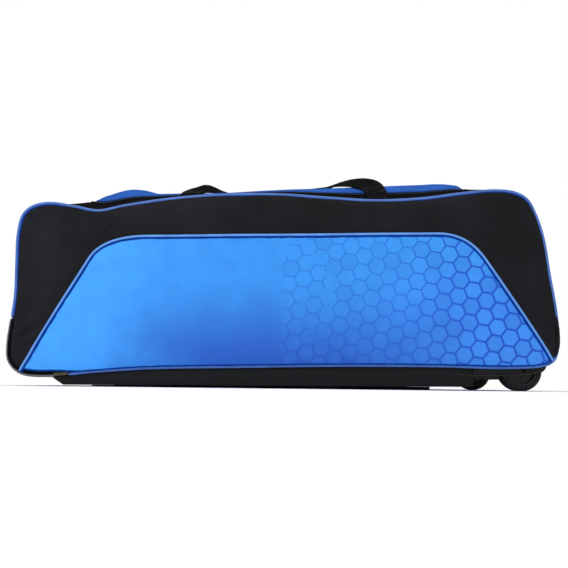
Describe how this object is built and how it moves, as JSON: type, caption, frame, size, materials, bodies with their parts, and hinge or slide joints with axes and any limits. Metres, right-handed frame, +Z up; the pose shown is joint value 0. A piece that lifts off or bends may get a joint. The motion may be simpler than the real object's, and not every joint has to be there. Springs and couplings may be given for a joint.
{
  "type": "wheeled cricket kit bag",
  "caption": "Long soft wheeled sports holdall of black cloth with blue corded seams, a blue printed front panel, zipped top lid, webbing straps, a stiff base with skid rails, and rear wheels.",
  "frame": {"origin": "on the floor under the middle of the whole bag", "axes": "+X along the length towards the wheeled end, -Y to the printed front, +Z up"},
  "size_m": [0.9888, 0.3456, 0.4016],
  "materials": {
    "black_cloth": "coated woven polyester",
    "blue_cloth": "coated woven polyester",
    "print_cloth": "smooth printed polyester",
    "zip_tape": "woven tape with a nylon coil",
    "slider_metal": "satin black",
    "blue_piping": "satin vinyl cord",
    "black_moulding": "fine-grained moulding",
    "black_webbing": "ribbed webbing",
    "axle_steel": "plain",
    "wheel_plastic": "satin"
  },
  "bodies": {
    "bag": {"front_panel": "black_cloth", "back_panel": "black_cloth", "top_panel": "black_cloth", "tow_end_panel": "black_cloth", "wheel_end_panel": "black_cloth", "lid": "blue_cloth", "print_panel": "print_cloth", "lid_zip": "zip_tape", "pocket_zip": "zip_tape", "lid_zip_slider": "slider_metal", "print_piping": "blue_piping", "front_piping": "blue_piping", "back_piping": "blue_piping", "base_tray": "black_moulding", "wheel_carriage": "black_moulding", "skid_rail_front": "black_moulding", "skid_rail_back": "black_moulding", "tow_strap": "black_webbing", "carry_strap_front": "black_webbing", "carry_strap_back": "black_webbing", "axle_front": "axle_steel", "axle_back": "axle_steel"},
    "near_wheel": {"wheel_front": "wheel_plastic"},
    "far_wheel": {"wheel_back": "wheel_plastic"}
  },
  "joints": [
    {"name": "near_wheel_spin", "type": "hinge", "parent": "bag", "child": "near_wheel", "pos_m": [0.41857, -0.12841, 0.036], "axis": [0, 1, 0], "continuous": true},
    {"name": "far_wheel_spin", "type": "hinge", "parent": "bag", "child": "far_wheel", "pos_m": [0.41857, 0.13359, 0.036], "axis": [0, 1, 0], "continuous": true}
  ]
}
